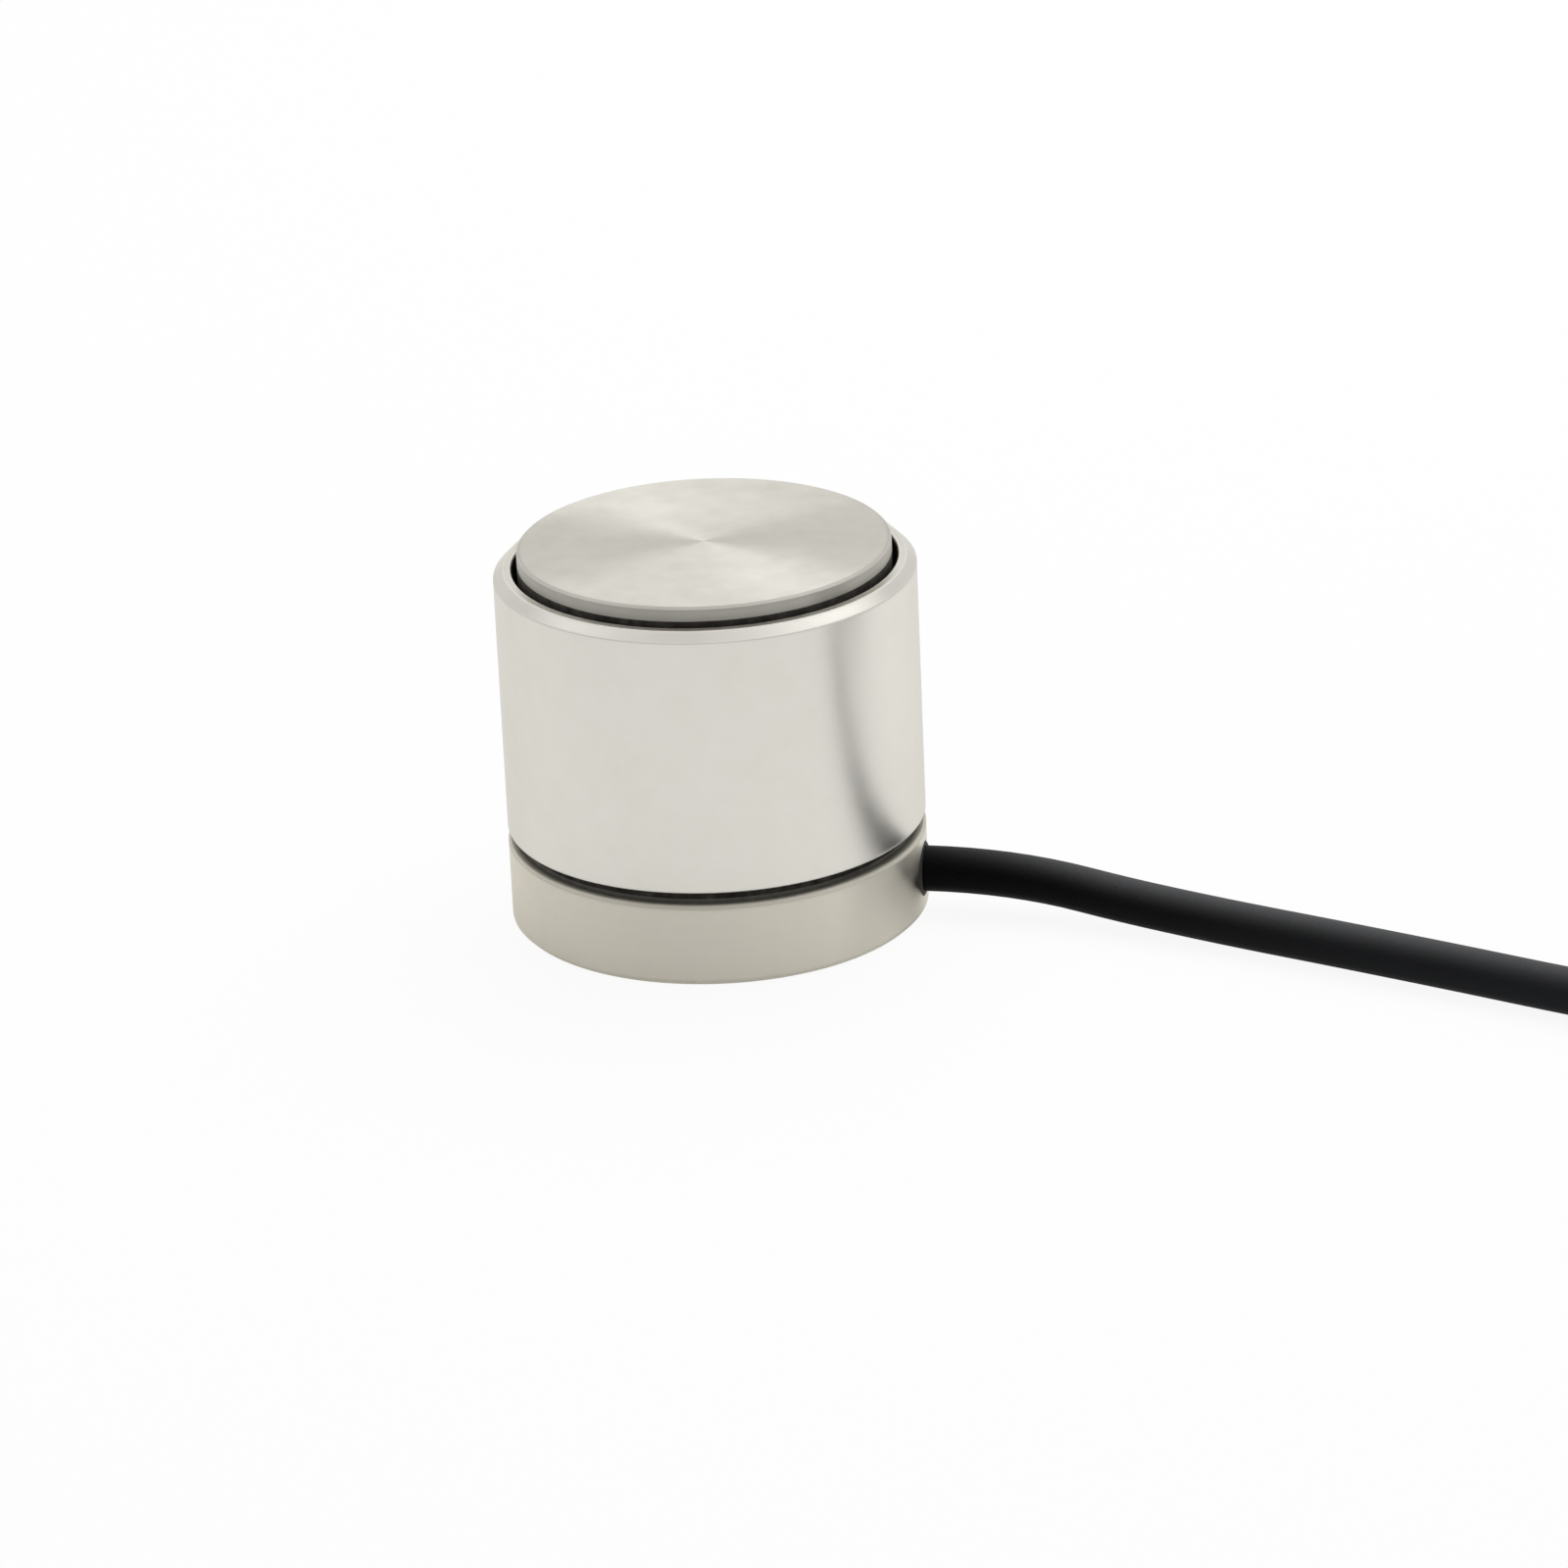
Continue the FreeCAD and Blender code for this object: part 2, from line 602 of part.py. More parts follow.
# Tied coil of the cable that isn't laid out: three turns wide and six high, as one ring
TURNS_WIDE = 3
TURNS_HIGH = 6
COIL_WIDE = f"({TURNS_WIDE} * Sizes.cable_dia + Sizes.coil_slack)"
COIL_HIGH = f"({TURNS_HIGH} * Sizes.cable_dia)"
COIL_MEAN_R = "(Sizes.coil_mean_dia / 2)"
COIL_OUT_R = f"({COIL_MEAN_R} + {COIL_WIDE} / 2)"
COIL_IN_R = f"({COIL_MEAN_R} - {COIL_WIDE} / 2)"
COIL_LOW = "Sizes.coil_lift"
COIL_TOP = f"(Sizes.coil_lift + {COIL_HIGH})"


def at_coil(body):
    body.setExpression("Placement.Base.x", "Sizes.coil_x")
    body.setExpression("Placement.Base.y", "Sizes.coil_y")
    return body


coil_ring = at_coil(new_body("coil_ring"))
sketch = new_sketch(coil_ring, "section", "XZ_Plane")
rectangle(sketch, COIL_IN_R, COIL_OUT_R, COIL_LOW, COIL_TOP)
blank = revolve(coil_ring, sketch, "V_Axis")
doc.recompute()
ring_edges = [(across, up) for across in (COIL_IN_R, COIL_OUT_R) for up in (COIL_LOW, COIL_TOP)]
round_rings(coil_ring, blank, "Sizes.coil_round", ring_edges)

# Tie: a band round the ring's section on its +Y side, standing on the floor, with its lock on top
TIE_IN = f"({COIL_IN_R} - Sizes.tie_proud)"
TIE_OUT = f"({COIL_OUT_R} + Sizes.tie_proud)"
TIE_TOP = f"({COIL_TOP} + Sizes.tie_proud)"
tie = at_coil(new_body("tie"))
sketch = new_sketch(tie, "band", "YZ_Plane")
rectangle(sketch, TIE_IN, TIE_OUT, "0", TIE_TOP)
rectangle(
    sketch,
    f"{TIE_IN} + Sizes.tie_thick",
    f"{TIE_OUT} - Sizes.tie_thick",
    "Sizes.tie_thick",
    f"{TIE_TOP} - Sizes.tie_thick",
)
pad(tie, sketch, "Sizes.tie_wide", both_ways=True)
sketch = new_sketch(tie, "lock", "YZ_Plane")
LOCK_HALF = "(Sizes.tie_wide / 2 + Sizes.tie_thick / 2)"
lock_high = f"{TIE_TOP} + 2 * Sizes.tie_thick"
rectangle(sketch, f"{COIL_MEAN_R} - {LOCK_HALF}", f"{COIL_MEAN_R} + {LOCK_HALF}", TIE_TOP, lock_high)
lock = pad(tie, sketch, f"2 * {LOCK_HALF}", both_ways=True)
doc.recompute()
long_edges = []
for i, edge in enumerate(lock.Shape.Edges, start=1):
    middle = edge.CenterOfMass
    along_x = edge.BoundBox.YLength < 1e-6 and edge.BoundBox.ZLength < 1e-6
    outer_side = abs(abs(middle.y - worth(COIL_MEAN_R)) - worth(f"{TIE_OUT} - {COIL_MEAN_R}")) < 1e-4
    if along_x and outer_side:
        long_edges.append(f"Edge{i}")
rounding = tie.newObject("PartDesign::Fillet", "rounding")
rounding.Base = (lock, long_edges)
rounding.setExpression("Radius", "Sizes.coil_round")
doc.recompute()
inner_edges = []
for i, edge in enumerate(rounding.Shape.Edges, start=1):
    middle = edge.CenterOfMass
    along_x = edge.BoundBox.YLength < 1e-6 and edge.BoundBox.ZLength < 1e-6
    reach = worth(f"{TIE_OUT} - {COIL_MEAN_R} - Sizes.tie_thick")
    if along_x and abs(abs(middle.y - worth(COIL_MEAN_R)) - reach) < 1e-4:
        inner_edges.append(f"Edge{i}")
inner_rounding = tie.newObject("PartDesign::Fillet", "inner_rounding")
inner_rounding.Base = (rounding, inner_edges)
inner_rounding.setExpression("Radius", "Sizes.coil_round - Sizes.tie_thick")
tie.Tip = inner_rounding
node(tie, "coil_tie")
node(cut_away("coil", coil_ring, tie), "cable_coil")

# Laid-out cable: from the grommet's face down to the floor and along it into the side of the coil
cable_dia = worth("Sizes.cable_dia")
floor_up = worth(f"{CABLE_R} + Sizes.floor_gap")
coil_centre = FreeCAD.Vector(worth("Sizes.coil_x"), worth("Sizes.coil_y"), 0)
coil_mean_r = worth(COIL_MEAN_R)
run_points = [
    FreeCAD.Vector(worth(GROMMET_FACE), 0, cable_up),
    FreeCAD.Vector(32, 0, cable_up),
    FreeCAD.Vector(48.5, -4.6, floor_up),
    FreeCAD.Vector(76, -15.2, floor_up),
    FreeCAD.Vector(99, -24.9, floor_up),
    FreeCAD.Vector(122, -31.4, floor_up),
    FreeCAD.Vector(143, -34.8, floor_up),
    coil_centre + FreeCAD.Vector(-0.32 * coil_mean_r, -1.096 * coil_mean_r, floor_up),
]


def laid_cable(name, points):
    """A round cable along the points, printed with its bends and its volume against section times length."""
    radii, length = bent_path(points)[1:]
    shape = bent_rod(points, cable_dia)
    share = shape.Volume / (math.pi * cable_dia ** 2 / 4 * length)
    bends = ", ".join(f"{radius:.1f}" for radius in radii)
    print(f"{name}: length {length:.1f}, bend radii {bends}, volume share {share:.5f}")
    return shaped(name, shape)


node(cut_away("run", laid_cable("run_rod", run_points), coil_ring), "cable_run")

# Cable's far end: lies along the top of the ring
END_ANGLES = (-80, -55, -30, -5)
end_step = math.radians(END_ANGLES[1] - END_ANGLES[0])
end_r = worth(f"{COIL_MEAN_R} + {CABLE_R}") / math.cos(end_step / 2)
end_up = worth(f"{COIL_TOP} + {CABLE_R} + Sizes.floor_gap")


def on_ring(angle, radius, up):
    """A place over the ring, by its angle about the ring's middle."""
    turned = math.radians(angle)
    return coil_centre + FreeCAD.Vector(radius * math.cos(turned), radius * math.sin(turned), up)


end_points = [on_ring(angle, end_r, end_up) for angle in END_ANGLES]
node(laid_cable("end_rod", end_points), "cable_end")

# Bare cores at the far end, spread out over the top of the ring, with tinned tips
CORE_ANGLES = (25, 57)
CORE_AHEAD = 4
ahead = (end_points[-1] - end_points[-2]).normalize()
inward = FreeCAD.Vector(-ahead.y, ahead.x, 0)
core_up = worth(f"{COIL_TOP} + Sizes.core_dia / 2 + Sizes.floor_gap")
drain_up = worth(f"{COIL_TOP} + Sizes.drain_dia / 2 + Sizes.floor_gap")


def bare_route(aside, above, radii, up):
    """The points of a bare core: straight out of the cable's end face, then down onto the ring, where its
    radii are shares of the cable's own."""
    first = end_points[-1] + inward * aside + FreeCAD.Vector(0, 0, above)
    landed = [on_ring(angle, share * end_r, up) for angle, share in zip(CORE_ANGLES, radii)]
    return [first, first + ahead * CORE_AHEAD] + landed


end_tips = []


def end_core(label, aside, above, radii):
    points = bare_route(aside, above, radii, core_up)
    node(shaped(label, bent_rod(points, core_dia)), label)
    tip_radius = worth("Sizes.end_tip_dia / 2")
    end_tips.append(Part.makeCylinder(tip_radius, worth("Sizes.end_tip_long"), points[-1], points[-1] - points[-2]))


end_core("end_core_red", core_half, core_half, (0.79, 0.69))
end_core("end_core_white", core_half, -core_half, (0.88, 0.79))
end_core("end_core_green", -core_half, -core_half, (1.02, 0.97))
end_core("end_core_black", -core_half, core_half, (1.11, 1.09))
node(shaped("end_tips", Part.Compound(end_tips)), "end_core_tips")
drain_points = bare_route(0, 0, (0.95, 0.88), drain_up)
node(shaped("end_drain", bent_rod(drain_points, worth("Sizes.drain_dia"))), "end_drain")

# Check every piece, then write it out
doc.recompute()
for item in doc.Objects:
    if "Invalid" in item.State or "Error" in item.State:
        raise RuntimeError(f"{item.Label} did not build: {item.State}")
os.makedirs("parts", exist_ok=True)
for piece in nodes:
    if piece.Shape.isNull() or not piece.Shape.isValid():
        raise RuntimeError(f"{piece.Label} has no valid shape")
    piece.Shape.exportStep(f"parts/{piece.Label}.step")
    print(f"{piece.Label}: {len(piece.Shape.Solids)} solid(s), {piece.Shape.Volume:.3f} mm3")
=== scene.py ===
import bmesh
import bpy
import math
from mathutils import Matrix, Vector


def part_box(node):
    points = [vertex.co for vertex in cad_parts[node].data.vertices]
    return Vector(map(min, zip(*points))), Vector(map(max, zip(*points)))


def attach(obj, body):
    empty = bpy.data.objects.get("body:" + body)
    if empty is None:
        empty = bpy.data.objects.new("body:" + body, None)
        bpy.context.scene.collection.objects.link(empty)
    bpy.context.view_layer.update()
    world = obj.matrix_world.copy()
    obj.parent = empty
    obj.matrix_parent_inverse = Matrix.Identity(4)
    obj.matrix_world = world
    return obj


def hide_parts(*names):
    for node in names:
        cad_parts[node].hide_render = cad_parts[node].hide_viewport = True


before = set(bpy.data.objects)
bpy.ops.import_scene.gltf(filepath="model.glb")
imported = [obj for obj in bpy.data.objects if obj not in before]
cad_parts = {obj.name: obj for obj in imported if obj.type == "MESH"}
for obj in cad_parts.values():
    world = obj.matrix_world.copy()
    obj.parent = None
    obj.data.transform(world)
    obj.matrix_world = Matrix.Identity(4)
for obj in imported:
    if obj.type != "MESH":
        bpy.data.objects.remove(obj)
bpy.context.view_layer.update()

# Load column: the base ring, the spigot, the gauged waist and the load head, turned from one
# bar of stainless steel. The turning marks run round the axis and the edges are burnished.
# Painted shade darkens the groove, the gap round the head and the head's side, and the base
# ring below the groove carries a warmer, lighter painted reflection tint.
MM = 1000.0
GROOVE_HIGH = 1.5
SLEEVE_WALL = 2.0
HEAD_PLAY = 0.6
BASE_EDGE = 0.4
GROOVE_EDGE = 0.3
HEAD_EDGE = 0.25
BODY_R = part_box("outer_sleeve")[1][0] * MM
FACE_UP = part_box("load_column")[1][2] * MM
LIP_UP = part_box("outer_sleeve")[1][2] * MM
SEAT_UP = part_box("outer_sleeve")[0][2] * MM
BASE_UP = SEAT_UP - GROOVE_HIGH
HEAD_R = BODY_R - SLEEVE_WALL - HEAD_PLAY
BAR_COLOUR = (0.838, 0.819, 0.758, 1.0)
BAR_SHADE = (0.692, 0.671, 0.605, 1.0)
# Painted reflection tint: the base ring below the groove is tinted warmer and lighter.
BASE_REFLECTION_TINT = (0.930, 0.872, 0.735, 1.0)
REFLECTION_TINT_SHARE = 0.5
REFLECTION_TINT_TOP = BASE_UP + 0.2
# Painted shade: the near-black colour that the recesses are darkened towards.
PAINTED_SHADE_COLOUR = (0.018, 0.015, 0.011, 1.0)
STEEL_EDGE = (0.86, 0.85, 0.83, 1.0)
TURNED_ROUGHNESS = 0.42
TURNED_BITE = 0.20
TURNED_DRAW = 0.92
GLOSSIEST = 0.285
GLOSS_TURN = 0.25
FEED_SLOPE = 1.37
MARK_STRETCH = 0.05
MARK_PITCH = 1.1
RIDGE_PITCH = 0.9
MARK_DEEP = 0.00001
BURNISH_FADE = 3.5
CLOUD_TONE = 2.2
CLOUD_GLOSS = 0.2
# Painted shade in the recesses: darkest inside one radius, lit from another, between two heights.
GROOVE_WALL = (BODY_R - 1.0, BODY_R - 0.15, BASE_UP + 0.42, SEAT_UP + 0.05, 0.97)
GROOVE_FLOOR = (BODY_R - 1.0, BODY_R - 0.15, BASE_UP - 0.10, BASE_UP + 0.42, 0.78)
HEAD_GAP = (BODY_R, BODY_R + 1.0, LIP_UP - 2.5, LIP_UP + 0.40, 0.95)
HEAD_SIDE = (BODY_R, BODY_R + 1.0, LIP_UP - 2.5, FACE_UP - 0.40, 0.24)
COLUMN_EDGES = (
    (BODY_R - BASE_EDGE, 0.0), (BODY_R, BASE_EDGE),
    (BODY_R, BASE_UP - GROOVE_EDGE), (BODY_R - GROOVE_EDGE, BASE_UP),
    (HEAD_R, FACE_UP - HEAD_EDGE), (HEAD_R - HEAD_EDGE, FACE_UP))


class Wire:
    """A socket of a material's nodes: sums on it add Math nodes, and node() adds any other."""

    def __init__(self, tree, socket=None):
        self.tree = tree
        self.socket = socket

    def node(self, kind, settings=None, inputs=None, out=0):
        made = self.tree.nodes.new(kind)
        for name, value in (settings or {}).items():
            setattr(made, name, value)
        for name, value in (inputs or {}).items():
            if isinstance(value, Wire):
                self.tree.links.new(value.socket, made.inputs[name])
            else:
                made.inputs[name].default_value = value
        return Wire(self.tree, made.outputs[out] if made.outputs else None)

    def also(self, out):
        """Another output of the node that this wire comes from."""
        return Wire(self.tree, self.socket.node.outputs[out])

    def maths(self, operation, *values, clamp=False):
        settings = {"operation": operation, "use_clamp": clamp}
        return self.node("ShaderNodeMath", settings, dict(enumerate(values)))

    def __add__(self, other):
        return self.maths("ADD", self, other)

    def __sub__(self, other):
        return self.maths("SUBTRACT", self, other)

    def __rsub__(self, other):
        return self.maths("SUBTRACT", other, self)

    def __mul__(self, other):
        return self.maths("MULTIPLY", self, other)

    def __pow__(self, other):
        return self.maths("POWER", self, other)

    __radd__ = __add__
    __rmul__ = __mul__

    def __abs__(self):
        return self.maths("ABSOLUTE", self)

    def clamped(self):
        return self.maths("ADD", self, 0.0, clamp=True)

    def rise(self, low, high):
        """A smooth step from 0 at low to 1 at high."""
        return self.node(
            "ShaderNodeMapRange", {"interpolation_type": "SMOOTHSTEP"},
            {"Value": self, "From Min": low, "From Max": high})


def new_finish(name):
    """An empty node material, the wire that starts its nodes, and its place in millimetres."""
    finish = bpy.data.materials.new(name)
    finish.use_nodes = True
    finish.node_tree.nodes.clear()
    start = Wire(finish.node_tree)
    place = start.node("ShaderNodeTexCoord", out="Object")
    place = start.node("ShaderNodeVectorMath", {"operation": "SCALE"}, {0: place, "Scale": MM})
    return finish, start, place


def axes_of(start, place):
    split = start.node("ShaderNodeSeparateXYZ", None, {0: place})
    return split, split.also(1), split.also(2)


def noise(start, place, scale, detail=2.0):
    return start.node(
        "ShaderNodeTexNoise", None, {"Vector": place, "Scale": scale, "Detail": detail})


def bumps(start, height, strength, deep):
    """A normal for these heights, where 1 stands this many metres above 0."""
    return start.node(
        "ShaderNodeBump", None, {"Strength": strength, "Distance": deep, "Height": height})


def close_finish(start, **sockets):
    """Ends a material in its surface shader, with sockets named as the shader names them."""
    named = {name.replace("_", " "): value for name, value in sockets.items()}
    surface = start.node("ShaderNodeBsdfPrincipled", None, named)
    start.node("ShaderNodeOutputMaterial", None, {"Surface": surface})


def dress(finish, *names):
    for name in names:
        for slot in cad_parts[name].material_slots:
            slot.material = finish


def blend_colours(start, share, first, second):
    return start.node(
        "ShaderNodeMix", {"data_type": "RGBA"}, {"Factor": share, 6: first, 7: second}, out=2)


def turned_steel(name, colours, edges, recesses, roughness, bite, draw, reflection_tint=None):
    """Turned steel, burnished along its edges, with painted shade in its recesses.

    An edge is a radius and a height. A recess is the radius that it is darkest inside, the radius
    that it is lit from, its lowest and highest point, and its share of painted shade. The bite is
    how deep the marks are, and the draw how far they pull the gloss. The reflection tint, if any,
    is a painted reflection colour and the height that it reaches up to.
    """
    finish, start, place = new_finish(name)
    across, along, up = axes_of(start, place)
    radius = (across * across + along * along) ** 0.5
    feed = radius + up * FEED_SLOPE
    streak_place = start.node("ShaderNodeCombineXYZ", None, {
        0: across * MARK_STRETCH, 1: along * MARK_STRETCH, 2: feed * MARK_PITCH})
    streaks = noise(start, streak_place, 1.0, 1.0)
    ridges = start.node(
        "ShaderNodeTexNoise", {"noise_dimensions": "1D"},
        {"W": feed, "Scale": RIDGE_PITCH, "Detail": 1.0})
    clouds = noise(start, place, 0.13, 3.0) * 0.6 + noise(start, place, 0.40, 2.0) * 0.4 - 0.5
    burnish = None
    for edge_radius, edge_up in edges:
        out = radius - edge_radius
        over = up - edge_up
        near = (1.0 - (out * out + over * over) ** 0.5 * BURNISH_FADE).clamped()
        burnish = near if burnish is None else start.maths("MAXIMUM", burnish, near)
    # Painted shade: each recess is darkened towards the near-black colour, where shade falls.
    painted_shade = None
    for dark_out, lit_out, low, high, share in recesses:
        level = up.rise(low - 0.1, low) * (1.0 - up.rise(high, high + 0.15))
        deep = (1.0 - radius.rise(dark_out, lit_out)) * level * share
        painted_shade = deep if painted_shade is None else start.maths("MAXIMUM", painted_shade, deep)
    painted_shade = painted_shade * (0.84 + noise(start, place, 0.8, 4.0) * 0.24).clamped()
    marking = (streaks - 0.5) * bite + (ridges - 0.5) * (bite * 0.5)
    tone = (0.5 + marking + clouds * CLOUD_TONE + burnish * 0.4).clamped()
    steel = blend_colours(start, tone, *colours)
    # Painted reflection tint: warmer and lighter up to the given height.
    if reflection_tint:
        reflected_colour, reflected_top = reflection_tint
        tinted = 1.0 - up.rise(reflected_top - 0.1, reflected_top + 0.1)
        steel = blend_colours(start, tinted * REFLECTION_TINT_SHARE, steel, reflected_colour)
    colour = blend_colours(start, painted_shade, steel, PAINTED_SHADE_COLOUR)
    gloss = (
        roughness + (streaks - 0.5) * (bite * 0.2) + clouds * CLOUD_GLOSS + burnish * 0.2
        + painted_shade * 0.2)
    close_finish(
        start, Base_Color=colour, Metallic=1.0,
        Roughness=start.maths("MAXIMUM", gloss, GLOSSIEST),
        Normal=bumps(start, streaks * 0.6 + ridges * 0.4, bite * 0.3, MARK_DEEP),
        Anisotropic=draw, Anisotropic_Rotation=GLOSS_TURN, Specular_Tint=STEEL_EDGE)
    return finish


dress(
    turned_steel(
        "column_steel", (BAR_SHADE, BAR_COLOUR), COLUMN_EDGES,
        (GROOVE_WALL, GROOVE_FLOOR, HEAD_GAP, HEAD_SIDE),
        TURNED_ROUGHNESS, TURNED_BITE, TURNED_DRAW, (BASE_REFLECTION_TINT, REFLECTION_TINT_TOP)),
    "load_column")

# Strain gauges: an etched foil grid on a polyimide carrier is glued to each of the four flats,
# with a strip of two solder faces under it and enamelled copper wires down to the board.
FILM_AMBER = (0.60, 0.27, 0.045, 1.0)
FILM_DEEP = (0.44, 0.17, 0.025, 1.0)
FOIL_ALLOY = (0.62, 0.53, 0.45, 1.0)
FOIL_DULL = (0.50, 0.41, 0.34, 1.0)
COPPER = (0.76, 0.42, 0.27, 1.0)
COPPER_DULL = (0.52, 0.25, 0.15, 1.0)
DIAGONAL = 0.7071
SOLDER_FACE = 7.615
GAUGES = (1, 2, 3, 4)


def cast_film(name):
    """Polyimide film, with copper where it stands out past its own thickness."""
    finish, start, place = new_finish(name)
    across, along, up = axes_of(start, place)
    cloud = noise(start, place, 0.9, 3.0)
    grain = noise(start, place, 9.0, 2.0)
    film = blend_colours(start, cloud, FILM_AMBER, FILM_DEEP)
    out = (abs(across) + abs(along)) * DIAGONAL
    solder = out.rise(SOLDER_FACE, SOLDER_FACE + 0.01)
    copper = blend_colours(start, grain, COPPER, COPPER_DULL)
    close_finish(
        start, Base_Color=blend_colours(start, solder, film, copper), Metallic=solder,
        Roughness=0.30 + grain * 0.12 + solder * 0.1, Normal=bumps(start, grain, 0.15, 0.00001))
    return finish


def drawn_metal(name, colour, shade, roughness, scale):
    """Rolled, drawn or plated metal: fine marks this many to the millimetre over dull patches."""
    finish, start, place = new_finish(name)
    fine = noise(start, place, scale, 3.0)
    patches = noise(start, place, scale * 0.12, 2.0)
    tint = blend_colours(start, (fine * 0.5 + patches * 0.9 - 0.2).clamped(), colour, shade)
    close_finish(
        start, Base_Color=tint, Metallic=1.0, Roughness=roughness + (fine - 0.5) * 0.2,
        Normal=bumps(start, fine, 0.2, 0.00001))
    return finish


FILM = cast_film("amber_film")
dress(FILM, *(f"gauge_carrier_{gauge}" for gauge in GAUGES))
dress(FILM, *(f"gauge_terminal_{gauge}" for gauge in GAUGES))
dress(
    drawn_metal("etched_foil", FOIL_ALLOY, FOIL_DULL, 0.36, 12.0),
    *(f"gauge_foil_{gauge}" for gauge in GAUGES))
dress(
    drawn_metal("bare_copper", COPPER, COPPER_DULL, 0.32, 8.0),
    *(f"gauge_leads_{gauge}" for gauge in GAUGES))

# Terminal board: a ring of green glass laminate with ring tracks under its lacquer, on an
# insulating ring of pressed board, both laid on the shoulder round the waist.
LACQUER = (0.012, 0.12, 0.045, 1.0)
LACQUER_TRACK = (0.03, 0.22, 0.07, 1.0)
LAMINATE = (0.30, 0.30, 0.12, 1.0)
WEAVE_PITCH = 7.0
BOARD_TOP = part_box("terminal_board")[1][2] * MM
TRACKS = ((11.9, 0.25), (12.9, 0.25), (17.6, 0.25), (18.6, 0.3))
PRESSED_BOARD = (0.72, 0.68, 0.55, 1.0)
PRESSED_DARK = (0.58, 0.53, 0.40, 1.0)


def lacquered_laminate(name):
    """Woven glass laminate, lacquered on top over its tracks: each a radius and half a width."""
    finish, start, place = new_finish(name)
    across, along, up = axes_of(start, place)
    radius = (across * across + along * along) ** 0.5
    weave = (
        start.maths("SINE", across * WEAVE_PITCH) * start.maths("SINE", along * WEAVE_PITCH))
    cloud = noise(start, place, 0.5, 2.0)
    track = None
    for middle, half in TRACKS:
        strip = 1.0 - abs(radius - middle).rise(half, half + 0.06)
        track = strip if track is None else start.maths("MAXIMUM", track, strip)
    lacquered = up.rise(BOARD_TOP - 0.06, BOARD_TOP - 0.02)
    green = blend_colours(start, (track + cloud * 0.2).clamped(), LACQUER, LACQUER_TRACK)
    fibre = blend_colours(start, (weave * 0.5 + 0.5) * 0.6, LAMINATE, PRESSED_DARK)
    close_finish(
        start, Base_Color=blend_colours(start, lacquered, fibre, green),
        Roughness=0.62 - lacquered * 0.3 + weave * 0.05,
        Normal=bumps(start, weave * 0.2 + track, 0.3, 0.00003))
    return finish


def pressed_board(name):
    finish, start, place = new_finish(name)
    fibre = noise(start, place, 2.5, 5.0)
    cloud = noise(start, place, 0.3, 2.0)
    darker = (fibre * 0.7 + cloud * 0.6 - 0.2).clamped()
    close_finish(
        start, Base_Color=blend_colours(start, darker, PRESSED_BOARD, PRESSED_DARK),
        Roughness=0.72 + fibre * 0.15, Normal=bumps(start, fibre, 0.4, 0.00004))
    return finish


dress(pressed_board("pressed_board"), "board_insulator")
dress(lacquered_laminate("green_laminate"), "terminal_board")

# Trimming resistors: four ceramic chips with a dark glaze on top and tinned caps at both ends,
# each soldered to the board and pointing at the axis.
CHIP_GLAZE = (0.022, 0.022, 0.026, 1.0)
CHIP_CERAMIC = (0.78, 0.77, 0.73, 1.0)
TIN = (0.72, 0.72, 0.70, 1.0)
TIN_DULL = (0.55, 0.55, 0.54, 1.0)
CHIP_MIDDLE = 15.35
CHIP_GLAZED = 1.08
CAP_RISE = 0.07
CHIP_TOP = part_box("zero_resistor")[1][2] * MM - CAP_RISE


def capped_chip(name):
    finish, start, place = new_finish(name)
    across, along, up = axes_of(start, place)
    radius = (across * across + along * along) ** 0.5
    grain = noise(start, place, 6.0, 3.0)
    cap = abs(radius - CHIP_MIDDLE).rise(CHIP_GLAZED, CHIP_GLAZED + 0.02)
    top = up.rise(CHIP_TOP - 0.02, CHIP_TOP)
    body = blend_colours(start, top, CHIP_CERAMIC, CHIP_GLAZE)
    tin = blend_colours(start, grain, TIN, TIN_DULL)
    close_finish(
        start, Base_Color=blend_colours(start, cap, body, tin), Metallic=cap,
        Roughness=0.30 + grain * 0.15 - top * 0.08, Normal=bumps(start, grain, 0.2, 0.00002))
    return finish


dress(
    capped_chip("capped_chip"), "span_resistor_plus", "span_resistor_minus", "zero_resistor",
    "balance_resistor")

# Cable entry: a rubber grommet pressed into the base ring, and behind it a brass ferrule crimped
# on the end of the jacket.
BRASS = (0.72, 0.53, 0.22, 1.0)
BRASS_DULL = (0.50, 0.34, 0.12, 1.0)
RUBBER = (0.010, 0.010, 0.010, 1.0)
RUBBER_GREY = (0.020, 0.020, 0.019, 1.0)


def soft_plastic(name, colour, shade, roughness, grain):
    """A moulded or extruded plastic or rubber, with its grain this many to the millimetre."""
    finish, start, place = new_finish(name)
    fine = noise(start, place, grain, 4.0)
    broad = noise(start, place, 0.15, 2.0)
    tint = blend_colours(start, (fine * 0.6 + broad * 0.8 - 0.2).clamped(), colour, shade)
    close_finish(
        start, Base_Color=tint, Roughness=roughness + (fine - 0.5) * 0.16 + (broad - 0.5) * 0.1,
        Normal=bumps(start, fine, 0.2, 0.00005))
    return finish


SEAL_RUBBER = soft_plastic("seal_rubber", RUBBER, RUBBER_GREY, 0.62, 4.0)
dress(SEAL_RUBBER, "cable_grommet")
dress(drawn_metal("crimped_brass", BRASS, BRASS_DULL, 0.34, 3.0), "cable_ferrule")

